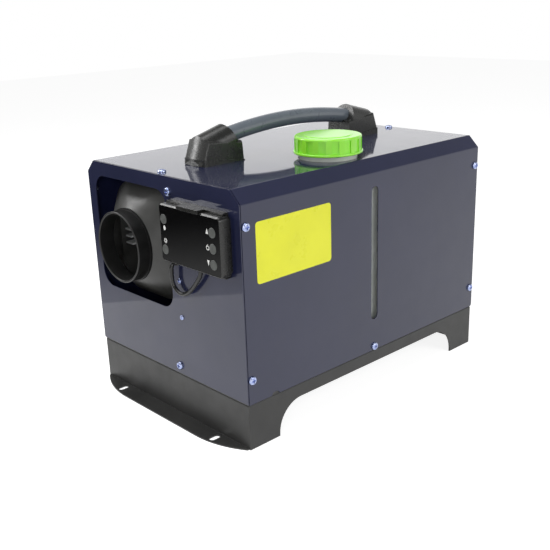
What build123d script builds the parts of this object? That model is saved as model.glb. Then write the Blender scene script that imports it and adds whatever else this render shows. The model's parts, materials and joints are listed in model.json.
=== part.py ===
from build123d import *
import math
import os

# Portable diesel air heater: a navy sheet-steel case on a black folded base, with the burner and its
# blower on one side, the fuel tank on the other, a carry handle on top and a small controller in front.
# X runs across, Y runs from the hot-air outlet (front, minus Y) to the air inlet, Z is up.
# The floor is Z = 0 and all sizes are millimetres.

os.makedirs("parts", exist_ok=True)

# Case
case_width = 250.0
case_length = 363.0
case_top = 255.0
base_height = 47.5
edge_chamfer = 12.5
edge_bend_radius = 2.0
cover_sheet = 1.0
panel_sheet = 1.0
tray_sheet = 1.0
base_sheet = 1.5
cover_setback = 1.5
panel_inset = 0.3
seam_gap = 0.5
fold_depth = 16.0
fold_gap = 8.0

# Base with its two foot flanges
base_inset = 1.0
base_bend_radius = 2.0
arch_half_length = 141.0
arch_height = 33.0
arch_corner_radius = 30.0
foot_reach = 19.5
foot_straight_half = 62.0
foot_end_reach = 2.0
foot_slot_x = 81.0
foot_slot_from_skirt = 9.8
foot_slot_width = 6.5
foot_slot_length = 12.0

# Front opening, level slot and lifting notch
opening_right = 15.75
opening_z = 178.8
opening_width = 127.5
opening_height = 122.5
opening_radius = 17.0
slot_y = 0.0
slot_low = 83.5
slot_high = 228.0
slot_width = 10.0
notch_y = -146.2
notch_half = 5.0
notch_height = 3.2

# Screws
screw_head_radius = 4.3
screw_head_height = 2.6
screw_shank_radius = 2.0
screw_length = 5.0
screw_hole_radius = 2.15
screw_edge = 6.0
side_screw_high = 222.0
side_screw_low = 73.0
side_screw_middle = 4.7
top_screw_edge = 9.0
panel_screw_x = 20.0
panel_screw_high = 239.8
panel_screw_low = 57.6
small_screw_x = 29.0
small_screw_zs = (151.3, 112.7)
small_head_radius = 2.6
small_head_height = 1.5
small_shank_radius = 1.4

# Wall between the heater and the tank
wall_x = 33.0
wall_sheet = 1.2
wall_fold = 16.0
wall_top = 250.0

# Handle
handle_radius = 8.3
handle_wall = 1.6
handle_arc_radius = 520.0
handle_apex = 287.4
handle_socket_inner = 79.5
handle_socket_outer = 135.0
handle_socket_half_width = 17.2
handle_band_height = 7.0
handle_band_low = 0.8
handle_band_step = 0.8
handle_nose_bow = 3.5
handle_nose_corner = 2.0
handle_nose_lean = 20.0
handle_nose_height = 25.6
handle_shoulder_height = 20.5
handle_shoulder_round = 3.0
handle_inner_lean = 1.5
handle_insert = 27.5
handle_fit = 0.12
handle_boss_drop = 3.0
handle_boss_slope = 15.0
handle_mouth_setback = 9.5
handle_mouth_tilt = 25.0
handle_screw_radius = 2.5
handle_screw_head_radius = 4.6
handle_screw_head_height = 3.0
handle_screw_length = 10.0

# Fuel tank
tank_wall = 2.5
tank_gap_to_wall = 2.8
tank_gap_to_cover = 5.5
tank_half_length = 150.0
tank_low = 56.0
tank_top = 240.0
tank_edge_radius = 12.0
neck_x = 74.0
neck_y = -15.0
neck_radius = 30.0
neck_bore_radius = 24.5
neck_collar_top = 259.0
neck_top = 274.0
neck_thread_root = 28.0
neck_thread_crest = 29.6
neck_thread_pitch = 4.0
neck_thread_turns = 2.0
neck_hole_gap = 1.2
pad_width = 30.0
pad_ys = (-110.0, 0.0, 110.0)

# Fuel cap and its seal
cap_bottom = 260.0
cap_rim_height = 2.6
cap_rim_radius = 36.0
cap_land_radius = 34.8
cap_flute_radius = 33.6
cap_bore_radius = 30.7
cap_side_top = 276.2
cap_top = 278.0
cap_disc_radius = 25.0
cap_disc_height = 0.5
cap_flutes = 16
cap_flute_angle = 12.5
seal_inner_radius = 24.8
seal_outer_radius = 30.2
seal_height = 1.4
moving_gap = 0.05

# Heater axis, casing and collars
heater_x = -50.5
heater_z = 174.0
casing_half_width = 58.0
casing_half_height = 60.0
casing_corner = 34.0
casing_wall = 2.5
casing_front = -160.0
casing_back = 120.0
casing_split_gap = 0.2
duct_radius = 37.5
duct_wall = 2.4
duct_root = -183.0
duct_end = -198.8
duct_lip_height = 1.2
duct_lip_width = 2.0
inlet_radius = 49.0
inlet_root = 150.0
inlet_end = 179.5
inlet_wall = 2.5
inlet_panel_gap = 3.0
joint_tongue = 6.0
joint_gap = 0.15

# Heat exchanger, burner and blower
exchanger_radius = 40.0
exchanger_wall = 5.0
exchanger_front = -140.0
exchanger_back = 35.0
exchanger_end_wall = 5.0
exchanger_flange = 50.0
exchanger_flange_length = 6.0
fin_radius = 52.0
fin_thickness = 1.8
fin_end_gap = 20.0
fin_count = 24
side_fin_reach = 49.7
side_fin_offsets = (-12.7, -4.9, 2.9, 10.7, 18.5)
long_fins = 3
long_fin_front = -157.0
foot_half_width = 38.0
foot_front = -55.0
foot_back = 30.0
foot_bottom = 104.0
foot_hole_gap = 0.5
gasket_height = 2.0
pipe_radius = 12.0
pipe_wall = 1.3
pipe_gap = 0.05
pipe_insert = 8.0
pipe_end = 14.0
pipe_bead_radius = 13.0
pipe_bead_height = 1.6
pipe_bead_below_deck = 0.4
exhaust_x = -67.0
intake_x = -34.0
pipe_y = -12.0
pipe_hole_gap = 1.5
stud_radius = 3.0
stud_inset = 8.0
stud_length_up = 9.0
stud_nut_height = 5.0
stud_nut_flats = 10.0
bracket_sheet = 2.5
bracket_margin_x = 4.5
bracket_margin_y = 5.5
bracket_foot = 14.0
burner_radius = 26.0
burner_wall = 1.5
burner_front = -100.0
burner_hole_radius = 1.8
burner_hole_rows = 2
burner_holes = 10
blower_length = 25.0
blower_wall = 5.0
blower_cavity_radius = 37.0
blower_eye_radius = 12.0
glow_y = 19.0
glow_radius = 5.0
glow_angle = 52.0
glow_top = 53.0
motor_radius = 26.0
motor_length = 52.0
motor_wall = 1.6
motor_core_radius = 18.0
motor_core_gap = 8.0
shaft_radius = 4.0
shaft_gap = 0.05
shaft_front = 42.0
shaft_back = 162.0
bearing_radius = 8.0
bearing_width = 5.0
bearing_seat_wall = 2.0
fan_radius = 44.0
fan_hub_radius = 14.0
fan_front = 134.0
fan_length = 22.0
fan_blades = 9
fan_blade_thickness = 1.8
fan_blade_twist = 38.0
impeller_radius = 34.0
impeller_plate = 2.0
impeller_vane = 8.0
impeller_vanes = 12
control_half_width = 30.0
control_height = 20.0
control_gap = 0.3

# Fuel pump, filter and hoses
pump_x = 17.0
pump_y = -30.0
pump_low = 74.0
pump_high = 118.0
pump_radius = 13.0
pump_bore_radius = 5.0
pump_plunger_gap = 0.05
pump_plunger_low = 82.0
pump_plunger_high = 98.0
pump_chamber_low = 80.0
pump_chamber_high = 110.0
pump_spring_wire = 0.7
pump_spring_radius = 3.4
pump_spring_turns = 5
pump_spigot_radius = 1.7
pump_spigot_length = 10.0
pump_rubber_wall = 1.5
pump_rubber_low = 88.0
pump_rubber_high = 104.0
pump_clamp_sheet = 1.0
pump_clamp_tab = 32.0
suction_low = 56.0
hose_radius = 2.75
hose_bore_radius = 1.75
filter_x = 5.0
filter_z = 76.0
filter_from_outlet = 23.0
filter_length = 36.0
filter_radius = 11.0
filter_spigot = 9.0
outlet_from_end = 17.0
outlet_spigot_radius = 1.7
outlet_flange_radius = 7.0
outlet_tip_x = 22.0
outlet_hole_radius = 9.0
inlet_pipe_z = 150.0
inlet_pipe_radius = 2.0
inlet_pipe_bend = 7.0
inlet_pipe_tip = 6.0

# Controller in its holder on the front panel
ctl_x = 67.5
ctl_z = 203.3
ctl_width = 92.0
ctl_height = 57.0
ctl_corner = 4.0
ctl_front_gap = 13.5
ctl_depth = 11.0
ctl_split = 4.5
ctl_wall = 1.8
ctl_frame = 1.6
ctl_bevel = 1.3
lens_thickness = 1.2
lens_sink = 0.2
lens_ledge = 2.0
button_radius = 4.8
button_hole_gap = 0.15
button_proud = 0.6
button_travel = 0.8
button_flange = 0.6
button_flange_thickness = 0.8
button_stem_radius = 2.0
button_left_x = -38.9
button_right_x = 34.1
button_left_zs = (13.7, -16.4)
button_right_zs = (13.1, -1.8, -17.0)
board_margin = 1.7
board_thickness = 1.6
post_height = 1.5
post_radius = 3.0
switch_size = 5.0
switch_height = 0.55
lcd_width = 54.0
lcd_height = 38.0
holder_gap = 0.25
holder_wall = 2.0
holder_inset = 1.5
holder_rim = 4.3
holder_tie = 3.0
hook_width = 10.0
hook_left_x = 38.0
hook_right_x = 104.0
clip_width = 32.0
clip_hook = 1.4
clip_hook_thickness = 1.2

# Controller cable between the front panel and the controller's lower edge
cable_radius = 2.1
grommet_x = 25.8
grommet_z = 171.5
grommet_flange = 4.6
grommet_body = 3.5
grommet_lip = 1.4
grommet_bore_gap = 0.05
cable_route = [
    (25.8, -178.5, 171.5),
    (25.8, -187.3, 171.5),
    (27.4, -187.2, 158.5),
    (29.0, -186.6, 148.0),
    (36.0, -186.2, 141.2),
    (47.0, -186.0, 142.6),
    (58.0, -186.0, 151.0),
    (66.0, -186.2, 161.0),
    (70.5, -186.2, 168.2),
    (70.5, -186.2, 174.8),
]

# Gland for the supply lead on the rear panel
gland_x = 62.0
gland_z = 75.0
gland_body_radius = 6.0
gland_nut_flats = 16.0
gland_nut_height = 5.0
gland_dome_radius = 7.0
gland_dome_length = 8.0
gland_bore_radius = 3.2

# Places worked out from the sizes above
opening_x = opening_right - opening_width / 2
half_width = case_width / 2
half_length = case_length / 2
cover_inside = half_width - cover_sheet
cover_end = half_length - cover_setback
panel_back = half_length - panel_sheet
tray_top = base_height + tray_sheet
cover_low = base_height + seam_gap
panel_low = tray_top + seam_gap
base_x = half_width - base_inset
base_y = half_length - base_inset
panel_face = -half_length
outlet_y = tank_half_length - outlet_from_end
filter_front = outlet_y - filter_from_outlet - filter_length


def box_between(x0, x1, y0, y1, z0, z1):
    """Box given by its two corners."""
    middle = Pos((x0 + x1) / 2, (y0 + y1) / 2, (z0 + z1) / 2)
    return middle * Box(x1 - x0, y1 - y0, z1 - z0)


def disc_z(x, y, radius, z0, z1):
    """Upright round bar."""
    return Pos(x, y, (z0 + z1) / 2) * Cylinder(radius, z1 - z0)


def disc_y(x, z, radius, y0, y1):
    """Round bar along the case's length."""
    return Pos(x, (y0 + y1) / 2, z) * Rot(90, 0, 0) * Cylinder(radius, y1 - y0)


def disc_x(y, z, radius, x0, x1):
    """Round bar across the case."""
    return Pos((x0 + x1) / 2, y, z) * Rot(0, 90, 0) * Cylinder(radius, x1 - x0)


def along_x(profile, x0, x1):
    """A profile drawn in Y and Z, made solid from x0 to x1."""
    plane = Plane(origin=(x0, 0, 0), x_dir=(0, 1, 0), z_dir=(1, 0, 0))
    return extrude(plane * profile, x1 - x0)


def along_y(profile, y0, y1):
    """A profile drawn in X and Z, made solid from y0 to y1."""
    plane = Plane(origin=(0, y1, 0), x_dir=(1, 0, 0), z_dir=(0, -1, 0))
    return extrude(plane * profile, y1 - y0)


def along_z(profile, z0, z1):
    """A profile drawn in X and Y, made solid from z0 to z1."""
    return extrude(Plane.XY.offset(z0) * profile, z1 - z0)


def outline(points):
    """Closed flat face through corner points."""
    return make_face(Polyline(*points, close=True))


def placed(shape, point, direction):
    """Turn a shape's own Z to a direction and move it to a point."""
    return Plane(origin=point, z_dir=direction).location * shape


def tube_along(route, radii, radius, bore=0.0):
    """Round tube along straight runs joined by tangent arcs, with a bore if one is given."""
    path = FilletPolyline(*route, radius=radii)
    start = Plane(origin=path @ 0, z_dir=path % 0)
    section = Circle(radius)
    if bore > 0:
        section = section - Circle(bore)
    return sweep(start * section, path), path


def bend_radii(route, share=0.45):
    """The largest bend that each corner's two runs allow."""
    radii = []
    for before, here, after in zip(route, route[1:], route[2:]):
        arriving = Vector(*here) - Vector(*before)
        leaving = Vector(*after) - Vector(*here)
        turn = math.radians(arriving.get_angle(leaving))
        shorter = min(arriving.length, leaving.length)
        radii.append(share * shorter / math.tan(turn / 2))
    return radii


def group(solids):
    """Several separate solids under one name."""
    whole = solids[0]
    for solid in solids[1:]:
        whole = whole + solid
    return whole


def save(node, shape):
    """Write one piece."""
    export_step(shape, f"parts/{node}.step")


def case_outline(inset, low):
    """End view of the case: square below, with a bent chamfer along each top edge."""
    side = half_width - inset
    top = case_top - inset
    leg = edge_chamfer - inset * (2 - math.sqrt(2))
    face = outline([
        (-side, low),
        (side, low),
        (side, top - leg),
        (side - leg, top),
        (-side + leg, top),
        (-side, top - leg),
    ])
    bends = face.vertices().sort_by(Axis.Y)[-4:]
    return fillet(bends, edge_bend_radius - inset)


# Every case screw sits at a point and faces one way.
side_ys = (-(half_length - screw_edge), half_length - screw_edge)
side_spots = []
for side in (-1, 1):
    for y in side_ys:
        side_spots.append(((side * half_width, y, side_screw_high), (side, 0, 0)))
        side_spots.append(((side * half_width, y, side_screw_low), (side, 0, 0)))
    side_spots.append(((side * half_width, 0, base_height + side_screw_middle), (side, 0, 0)))
top_spots = []
for end in (-1, 1):
    top_spots.append(((0, end * (half_length - top_screw_edge), case_top), (0, 0, 1)))
front_spots = []
rear_spots = []
for z in (panel_screw_low, panel_screw_high):
    front_spots.append(((panel_screw_x, -half_length, z), (0, -1, 0)))
    rear_spots.append(((panel_screw_x, half_length, z), (0, 1, 0)))
small_spots = []
for z in small_screw_zs:
    small_spots.append(((small_screw_x, -half_length, z), (0, -1, 0)))
handle_screw_ys = (handle_socket_inner + 11.0, handle_socket_outer - 10.0)
handle_spots = []
for end in (-1, 1):
    for y in handle_screw_ys:
        handle_spots.append(((0, end * y, case_top - cover_sheet), (0, 0, -1)))


def drilled(shape, spots, radius, reach):
    """Drill the same hole at every spot, the reach deep on both sides."""
    for point, direction in spots:
        shape = shape - placed(Cylinder(radius, 2 * reach), point, direction)
    return shape


def pan_screw(head_radius, head_height, shank_radius, length):
    """Cross-head screw standing on its head's underside, shank down."""
    head = Pos(0, 0, head_height / 2) * Cylinder(head_radius, head_height)
    head = fillet(head.edges().sort_by(Axis.Z)[-1], head_height * 0.72)
    blade = head_radius * 0.28
    recess = head_height * 0.55
    for turn in (0, 90):
        slot = Pos(0, 0, head_height) * Rot(0, 0, turn) * Box(head_radius * 1.05, blade, 2 * recess)
        head = head - slot
    shank = Pos(0, 0, -length / 2) * Cylinder(shank_radius, length)
    return head + shank


def make_screws(spots, head_radius, head_height, shank_radius, length):
    """One like screw at every spot."""
    screw = pan_screw(head_radius, head_height, shank_radius, length)
    return group([placed(screw, point, direction) for point, direction in spots])


# Folded black base: deck, four skirts, an arch in each long side and a slotted foot at each end.
def make_foot(end):
    skirt = end * base_y
    bend = end * (base_y + foot_end_reach)
    front = end * (base_y + foot_reach)
    tip = base_x - foot_end_reach
    start = (foot_straight_half, front)
    finish = (tip, bend)
    half_chord = math.hypot(tip - foot_straight_half, foot_reach - foot_end_reach)
    run = tip - foot_straight_half
    drop = foot_reach - foot_end_reach
    sweep_radius = half_chord ** 2 / (2 * drop)
    part_way = run * 0.55
    sag = sweep_radius - math.sqrt(sweep_radius ** 2 - part_way ** 2)
    middle = (foot_straight_half + part_way, front - end * sag)
    edges = Polyline((-foot_straight_half, front), start)
    edges += ThreePointArc(start, middle, finish)
    edges += Polyline(finish, (tip, skirt - end * base_sheet), (-tip, skirt - end * base_sheet), (-tip, bend))
    edges += ThreePointArc((-tip, bend), (-middle[0], middle[1]), (-foot_straight_half, front))
    plate = along_z(make_face(edges), 0, base_sheet)
    for x in (-foot_slot_x, foot_slot_x):
        hole = SlotOverall(foot_slot_length, foot_slot_width, rotation=90)
        y = skirt + end * foot_slot_from_skirt
        plate = plate - along_z(Pos(x, y) * hole, -1, base_sheet + 1)
    return plate


def make_base():
    block = box_between(-base_x, base_x, -base_y, base_y, 0, base_height)
    top_edges = block.faces().sort_by(Axis.Z)[-1].edges()
    block = fillet(top_edges, base_bend_radius)
    inner_x = base_x - base_sheet
    inner_y = base_y - base_sheet
    base = block - box_between(-inner_x, inner_x, -inner_y, inner_y, -1, base_height - base_sheet)
    arch = RectangleRounded(2 * arch_half_length, 2 * arch_height, arch_corner_radius)
    base = base - along_x(arch, -half_width, half_width)
    base = base + make_foot(-1) + make_foot(1)
    for x in (exhaust_x, intake_x):
        base = base - disc_z(x, pipe_y, pipe_radius + pipe_hole_gap, 0, base_height + 1)
    return base


# Inner floor: a steel tray on the base's deck, its sides folded up behind the cover.
def make_tray():
    end = base_y + 0.2
    tray = box_between(-cover_inside, cover_inside, -end, end, base_height, tray_top)
    fold_y = panel_back - fold_depth - fold_gap / 2
    fold_top = base_height + 2 * side_screw_middle + 3.0
    for side in (-1, 1):
        outer = side * cover_inside
        inner = side * (cover_inside - tray_sheet)
        tray += box_between(min(outer, inner), max(outer, inner), -fold_y, fold_y, tray_top, fold_top)
    for x in (exhaust_x, intake_x):
        tray = tray - disc_z(x, pipe_y, pipe_radius + pipe_hole_gap, 0, tray_top + 1)
    return drilled(tray, side_spots, screw_hole_radius, 4)


# Top cover: one sheet folded over the top and down both sides.
def make_cover():
    shell = case_outline(0, cover_low) - case_outline(cover_sheet, cover_low - 1)
    cover = along_y(shell, -cover_end, cover_end)
    slot = SlotOverall(slot_high - slot_low, slot_width, rotation=90)
    slot = Pos(slot_y, (slot_high + slot_low) / 2) * slot
    cover = cover - along_x(slot, cover_inside - 1, half_width + 1)
    notch = Pos(notch_y, cover_low) * Ellipse(notch_half, notch_height)
    cover = cover - along_x(notch, cover_inside - 1, half_width + 1)
    cover = cover - disc_z(neck_x, neck_y, neck_radius + neck_hole_gap, case_top - 5, case_top + 1)
    cover = drilled(cover, side_spots + top_spots, screw_hole_radius, 4)
    return drilled(cover, handle_spots, handle_screw_radius + 0.2, 4)


# An end panel is a shallow pan: a face with its top and side edges folded back under the cover.
def make_panel(end):
    near = end * half_length
    back = end * panel_back
    face = along_y(case_outline(panel_inset, panel_low), min(near, back), max(near, back))
    deep = end * (panel_back - fold_depth)
    y0 = min(back, deep)
    y1 = max(back, deep)
    flat = half_width - edge_chamfer - fold_gap / 2
    panel = face + box_between(-flat, flat, y0, y1, case_top - cover_sheet - panel_sheet, case_top - cover_sheet)
    side_top = case_top - edge_chamfer - fold_gap / 2
    for side in (-1, 1):
        outer = side * cover_inside
        inner = side * (cover_inside - panel_sheet)
        panel += box_between(min(outer, inner), max(outer, inner), y0, y1, panel_low, side_top)
    return drilled(panel, side_spots + top_spots, screw_hole_radius, 4)


def make_front_panel():
    panel = make_panel(-1)
    hole = Pos(opening_x, opening_z) * RectangleRounded(opening_width, opening_height, opening_radius)
    panel = panel - along_y(hole, -half_length - 1, -panel_back + 1)
    panel = panel - disc_y(grommet_x, grommet_z, grommet_body, -half_length - 1, -panel_back + 1)
    panel = drilled(panel, front_spots, screw_hole_radius, 3)
    return drilled(panel, small_spots, small_shank_radius + 0.1, 3)


def make_rear_panel():
    panel = make_panel(1)
    hole_radius = inlet_radius + inlet_panel_gap
    panel = panel - disc_y(heater_x, heater_z, hole_radius, panel_back - 1, half_length + 1)
    panel = panel - disc_y(gland_x, gland_z, gland_body_radius + 0.1, panel_back - 1, half_length + 1)
    return drilled(panel, rear_spots, screw_hole_radius, 3)


# Inner wall: keeps the tank away from the heater and stiffens both end panels.
def make_wall():
    end = panel_back
    wall = box_between(wall_x, wall_x + wall_sheet, -end, end, tray_top, wall_top)
    for y0 in (-end, end - wall_sheet):
        wall += box_between(wall_x - wall_fold, wall_x, y0, y0 + wall_sheet, tray_top, wall_top)
    foot_end = end - wall_sheet - 4
    wall += box_between(wall_x - wall_fold, wall_x, -foot_end, foot_end, tray_top, tray_top + wall_sheet)
    wall = wall - disc_x(outlet_y, filter_z, outlet_hole_radius, wall_x - 1, wall_x + wall_sheet + 1)
    wall = wall - disc_y(grommet_x, grommet_z, grommet_flange + 1.2, -end - 1, -end + wall_sheet + 1)
    wall = drilled(wall, front_spots + rear_spots, screw_hole_radius, 4)
    return drilled(wall, small_spots, small_shank_radius + 0.1, 4)


# Handle: a bent steel tube held by a moulded socket at each end.
def handle_height(y):
    """Height of the tube's centre line."""
    drop = handle_arc_radius - math.sqrt(handle_arc_radius ** 2 - y ** 2)
    return handle_apex - drop


def handle_bar(radius, reach):
    """Solid bar along the handle's arc, out to the reach on both sides."""
    half_turn = math.degrees(math.asin(reach / handle_arc_radius))
    section = Plane(origin=(0, 0, handle_apex), x_dir=(1, 0, 0), z_dir=(0, 1, 0)) * Circle(radius)
    pivot = Axis((0, 0, handle_apex - handle_arc_radius), (1, 0, 0))
    bar = revolve(section, pivot, half_turn)
    return bar + revolve(section, pivot, -half_turn)


def make_handle_tube():
    reach = handle_socket_inner + handle_insert
    return handle_bar(handle_radius, reach) - handle_bar(handle_radius - handle_wall, reach + 1)


def nose_face(inset, tail):
    """The socket's outline from above: a bowed nose with small corners, and sides that run to the tail."""
    near = -handle_socket_outer + inset
    half = handle_socket_half_width - inset
    corner = near + handle_nose_bow
    edges = ThreePointArc((-half, corner), (0, near), (half, corner))
    edges += Polyline((half, corner), (half, tail), (-half, tail), (-half, corner))
    return fillet(make_face(edges).vertices().sort_by(Axis.Y)[:2], handle_nose_corner)


def make_front_socket():
    near = -handle_socket_outer
    far = -handle_socket_inner
    half = handle_socket_half_width
    step = handle_band_step
    nose_band = case_top + handle_band_height
    inner_band = case_top + handle_band_low

    # Band on the cover, tall at the nose and low at the inner end.
    band = along_z(nose_face(0, far), case_top, nose_band)
    wedge = outline([(near, case_top), (far, case_top), (far, inner_band), (near, nose_band)])
    band = band & along_x(wedge, -half, half)

    # Body with round shoulders, and the round boss that holds the tube.
    side_view = outline([
        (near, nose_band),
        (near, case_top + handle_nose_height),
        (far - step - handle_inner_lean, case_top + handle_shoulder_height),
        (far - step, inner_band),
    ])
    body = along_x(side_view, -half + step, half - step)
    shoulders = body.edges().filter_by(lambda edge: abs((edge % 0.5).Y) > 0.9).sort_by(Axis.Z)[-2:]
    body = fillet(shoulders, handle_shoulder_round)
    mouth_y = far - handle_mouth_setback
    mouth = (0, mouth_y, handle_height(mouth_y))
    centre = (0, mouth_y, handle_height(mouth_y) - handle_boss_drop)
    leans = math.radians(handle_boss_slope)
    boss_radius = half - step
    reach = handle_socket_outer - handle_socket_inner + boss_radius
    boss = placed(Cylinder(boss_radius, 2 * reach), centre, (0, math.cos(leans), math.sin(leans)))
    tilt = math.radians(handle_mouth_tilt)
    beyond = Pos(0, 0, reach) * Box(2 * reach, 4 * reach, 2 * reach)
    boss = boss - placed(beyond, mouth, (0, math.cos(tilt), math.sin(tilt)))
    boss = boss & along_z(Rectangle(2 * half, 2 * handle_socket_outer), inner_band, handle_apex + reach)

    # The nose leans back as it rises.
    lean = math.tan(math.radians(handle_nose_lean))
    height = handle_apex + boss_radius - case_top
    upright = nose_face(step, -mouth_y)
    leaning = Plane(origin=(0, -handle_band_height * lean, case_top)) * upright
    leaning = extrude(leaning, height * math.sqrt(1 + lean ** 2), dir=(0, lean, 1))
    socket = band + ((body + boss) & leaning)
    socket = socket - handle_bar(handle_radius + handle_fit, handle_socket_inner + handle_insert + 0.5)
    return drilled(socket, handle_spots, handle_screw_radius, handle_screw_length + 2)


# Blow-moulded fuel tank with its threaded neck.
tank_x0 = wall_x + wall_sheet + tank_gap_to_wall
tank_x1 = cover_inside - tank_gap_to_cover


def tank_block(inset):
    block = box_between(
        tank_x0 + inset, tank_x1 - inset,
        -tank_half_length + inset, tank_half_length - inset,
        tank_low + inset, tank_top - inset,
    )
    return fillet(block.edges(), tank_edge_radius - inset)


def make_neck_thread():
    height = neck_thread_pitch * neck_thread_turns
    start = neck_collar_top + 3.0
    path = Pos(neck_x, neck_y, start) * Helix(neck_thread_pitch, height, neck_thread_root)
    depth = neck_thread_crest - neck_thread_root
    ridge = outline([(-0.4, -1.2), (depth, -0.4), (depth, 0.4), (-0.4, 1.2)])
    frame = Plane(origin=path @ 0, x_dir=(1, 0, 0), z_dir=(0, 1, 0))
    return sweep(frame * ridge, path, is_frenet=True)


def make_tank():
    tank = tank_block(0)
    tank += disc_z(neck_x, neck_y, neck_radius, tank_top - tank_wall, neck_collar_top)
    tank += disc_z(neck_x, neck_y, neck_thread_root, tank_top, neck_top)
    tank = tank - tank_block(tank_wall)
    tank = tank - disc_z(neck_x, neck_y, neck_bore_radius, tank_top - 2 * tank_wall, neck_top + 1)
    tank = tank - disc_x(outlet_y, filter_z, 4.05, tank_x0 - 1, tank_x0 + tank_wall + 1)
    return tank + make_neck_thread()


def make_tank_pads():
    pads = []
    for y in pad_ys:
        y0 = y - pad_width / 2
        y1 = y + pad_width / 2
        pads.append(box_between(tank_x0 + 9, tank_x1 - 9, y0, y1, tray_top, tank_low))
        if y != 0:
            pads.append(box_between(wall_x + wall_sheet, tank_x0, y0, y1, tank_low + 60, tank_top - 40))
    return group(pads)


def make_tank_outlet():
    flange = disc_x(outlet_y, filter_z, outlet_flange_radius, tank_x0 - 1.8, tank_x0)
    stem = disc_x(outlet_y, filter_z, 4.0, tank_x0 - 1, tank_x0 + tank_wall + 3)
    spigot = disc_x(outlet_y, filter_z, outlet_spigot_radius, outlet_tip_x, tank_x0)
    bore = disc_x(outlet_y, filter_z, outlet_spigot_radius - 0.6, outlet_tip_x - 1, tank_x0 + tank_wall + 4)
    return flange + stem + spigot - bore


# Screw cap with shallow flutes round its side, and the flat seal that it presses on the neck.
def make_cap():
    rim_top = cap_bottom + cap_rim_height
    cap = disc_z(neck_x, neck_y, cap_rim_radius, cap_bottom, rim_top)
    rim_edges = cap.edges().filter_by(GeomType.CIRCLE)
    cap = fillet(rim_edges, 0.9)
    land = disc_z(neck_x, neck_y, cap_land_radius, cap_bottom + 0.5, cap_top)
    land = fillet(land.edges().sort_by(Axis.Z)[-1], cap_top - cap_side_top)
    cap = cap + land
    disc = disc_z(neck_x, neck_y, cap_disc_radius, cap_top - 0.5, cap_top + cap_disc_height)
    cap = cap + fillet(disc.edges().sort_by(Axis.Z)[-1], cap_disc_height * 0.8)
    half_angle = math.radians(cap_flute_angle / 2)
    half_chord = cap_flute_radius * math.sin(half_angle)
    depth = cap_land_radius - cap_flute_radius
    height = cap_side_top - 0.8 - rim_top
    for index in range(cap_flutes):
        turn = 360.0 / cap_flutes * (index + 0.5)
        flute = Box(2 * depth, 2 * half_chord, height)
        flute = Pos(cap_flute_radius * math.cos(half_angle) + depth, 0, rim_top + height / 2) * flute
        cap = cap - Pos(neck_x, neck_y, 0) * Rot(0, 0, turn) * flute
    ceiling = neck_top + moving_gap + seal_height + moving_gap
    return cap - disc_z(neck_x, neck_y, cap_bore_radius, cap_bottom - 1, ceiling)


def make_cap_seal():
    low = neck_top + moving_gap
    ring = disc_z(neck_x, neck_y, seal_outer_radius, low, low + seal_height)
    return ring - disc_z(neck_x, neck_y, seal_inner_radius, low - 1, low + seal_height + 1)


# Heater casing: rounded-square plastic shells with a round collar at each end.
def casing_face(inset):
    width = 2 * (casing_half_width - inset)
    height = 2 * (casing_half_height - inset)
    return Pos(heater_x, heater_z) * RectangleRounded(width, height, casing_corner - inset)


def round_face(radius):
    """A circle drawn as four arcs, so that it lofts cleanly to the rounded square."""
    size = 2 * radius
    return Pos(heater_x, heater_z) * RectangleRounded(size, size, radius * 0.998)


def face_at(profile, y):
    return Plane(origin=(0, y, 0), x_dir=(1, 0, 0), z_dir=(0, -1, 0)) * profile


def casing_cone(square_inset, square_y, radius, round_y):
    """Solid that changes from the rounded square to a round end."""
    return loft([face_at(casing_face(square_inset), square_y), face_at(round_face(radius), round_y)], ruled=True)


def joint_ring(y0, y1):
    """Tongue that slips inside the shells."""
    inset = casing_wall + joint_gap
    return along_y(casing_face(inset) - casing_face(inset + 2.0), y0, y1)


def make_outlet_hood():
    hood = casing_cone(0, casing_front, duct_radius + 1.0, duct_root)
    hood += disc_y(heater_x, heater_z, duct_radius, duct_end, duct_root + 1)
    lip = disc_y(heater_x, heater_z, duct_radius + duct_lip_height, duct_root - duct_lip_width, duct_root)
    hood += lip
    bore = duct_radius - duct_wall
    inner = casing_cone(4.65, casing_front, bore, duct_root + 2.0)
    hood = hood - inner
    hood = hood - disc_y(heater_x, heater_z, bore, duct_end - 1, duct_root + 3.0)
    hood += joint_ring(casing_front, casing_front + joint_tongue)
    mouth = hood.edges().filter_by(GeomType.CIRCLE).sort_by(Axis.Y)[0:2]
    return chamfer(mouth, 0.7)


def make_inlet_grille():
    cap = casing_cone(0, casing_back, inlet_radius + 1.0, inlet_root)
    cap += disc_y(heater_x, heater_z, inlet_radius, inlet_root - 1, inlet_end)
    bore = inlet_radius - inlet_wall
    cap = cap - casing_cone(4.65, casing_back, bore, inlet_root - 2.0)
    cap = cap - disc_y(heater_x, heater_z, bore, inlet_root - 3.0, inlet_end + 1)
    cap += joint_ring(casing_back - joint_tongue, casing_back)
    grille_front = inlet_end - 4.0
    for radius in (12.0, 22.0, 32.0, 41.0):
        ring = disc_y(heater_x, heater_z, radius + 1.1, grille_front, inlet_end)
        cap += ring - disc_y(heater_x, heater_z, radius - 1.1, grille_front - 1, inlet_end + 1)
    for turn in range(0, 360, 45):
        rib = box_between(12.0, bore + 0.5, -1.2, 1.2, -2.0, 2.0)
        rib = Rot(90, 0, 0) * Rot(0, 0, turn) * rib
        cap += Pos(heater_x, inlet_end - 2.0, heater_z) * rib
    return cap


def casing_tube():
    return along_y(casing_face(0) - casing_face(casing_wall), casing_front, casing_back)


def make_upper_shell():
    low = heater_z + casing_split_gap / 2
    span = 2 * casing_half_width
    keep = box_between(heater_x - span, heater_x + span, casing_front - 1, casing_back + 1, low, low + span)
    return casing_tube() & keep


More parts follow.
